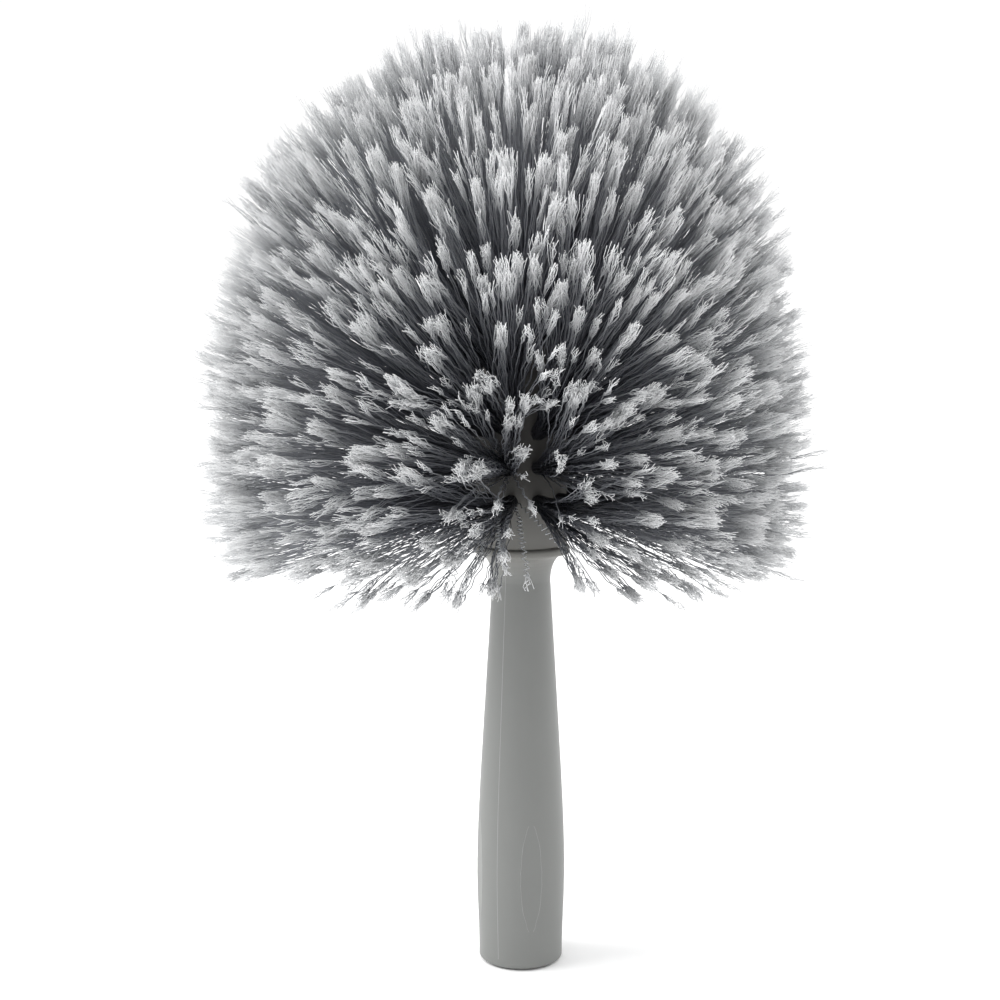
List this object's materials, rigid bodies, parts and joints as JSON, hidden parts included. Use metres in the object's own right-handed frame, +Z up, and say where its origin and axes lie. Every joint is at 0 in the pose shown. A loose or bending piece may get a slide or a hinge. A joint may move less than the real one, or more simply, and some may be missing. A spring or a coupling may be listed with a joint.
{
  "type": "cobweb brush",
  "caption": "Domed cobweb brush head: long crimped filaments set in tufts in a round-topped block, on a moulded grip with a socket for a pole.",
  "frame": {"origin": "centre of the mouth of the pole socket, in the plane of the grip's lower end", "axes": "+Z runs up the pole's axis to the top of the dome of filaments, -Y is the side that the picture shows, +X is to its right"},
  "size_m": [0.2099, 0.2089, 0.3196],
  "materials": {
    "grip_plastic": "fine matte, mid grey",
    "block_plastic": "fine matte, mid grey",
    "filament": "crimped blue-grey filament with pale split ends",
    "anchor_steel": "plain flat wire"
  },
  "bodies": {
    "root": {"handle": "grip_plastic", "brush_block": "block_plastic", "tuft_anchors": "anchor_steel", "tuft_row1_01": "filament", "tuft_row1_02": "filament", "tuft_row1_03": "filament", "tuft_row1_04": "filament", "tuft_row1_05": "filament", "tuft_row1_06": "filament", "tuft_row1_07": "filament", "tuft_row1_08": "filament", "tuft_row1_09": "filament", "tuft_row1_10": "filament", "tuft_row1_11": "filament", "tuft_row2_01": "filament", "tuft_row2_02": "filament", "tuft_row2_03": "filament", "tuft_row2_04": "filament", "tuft_row2_05": "filament", "tuft_row2_06": "filament", "tuft_row2_07": "filament", "tuft_row2_08": "filament", "tuft_row2_09": "filament", "tuft_row2_10": "filament", "tuft_row2_11": "filament", "tuft_row3_01": "filament", "tuft_row3_02": "filament", "tuft_row3_03": "filament", "tuft_row3_04": "filament", "tuft_row3_05": "filament", "tuft_row3_06": "filament", "tuft_row3_07": "filament", "tuft_row3_08": "filament", "tuft_row3_09": "filament", "tuft_row3_10": "filament", "tuft_row3_11": "filament", "tuft_row4_01": "filament", "tuft_row4_02": "filament", "tuft_row4_03": "filament", "tuft_row4_04": "filament", "tuft_row4_05": "filament", "tuft_row4_06": "filament", "tuft_row4_07": "filament", "tuft_row4_08": "filament", "tuft_row4_09": "filament", "tuft_row4_10": "filament", "tuft_row5_01": "filament", "tuft_row5_02": "filament", "tuft_row5_03": "filament", "tuft_row5_04": "filament", "tuft_row5_05": "filament", "tuft_row5_06": "filament", "tuft_row5_07": "filament", "tuft_row6_01": "filament", "tuft_row6_02": "filament", "tuft_row6_03": "filament", "tuft_row6_04": "filament", "tuft_row6_05": "filament", "tuft_row7_01": "filament"}
  },
  "joints": []
}
